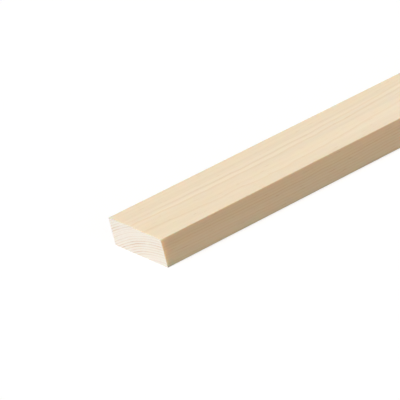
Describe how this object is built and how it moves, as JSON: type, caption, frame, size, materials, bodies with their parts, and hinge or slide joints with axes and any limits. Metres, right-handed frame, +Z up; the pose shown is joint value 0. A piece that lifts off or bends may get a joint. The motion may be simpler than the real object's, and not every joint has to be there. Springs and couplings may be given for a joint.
{
  "type": "timber batten",
  "caption": "Straight planed softwood batten of rhombus section, with two parallel broad faces, two edges leaning the same way and square-cut ends, for cladding and fencing.",
  "frame": {"origin": "centre of the batten's bounding box on the surface that it lies on", "axes": "+X along the grain, away from the end that the picture shows; +Z up through the thickness; -Y towards the leaning edge that the picture shows"},
  "size_m": [2, 0.0784, 0.027],
  "materials": {
    "spruce": "satin"
  },
  "bodies": {
    "root": {"batten": "spruce"}
  },
  "joints": []
}
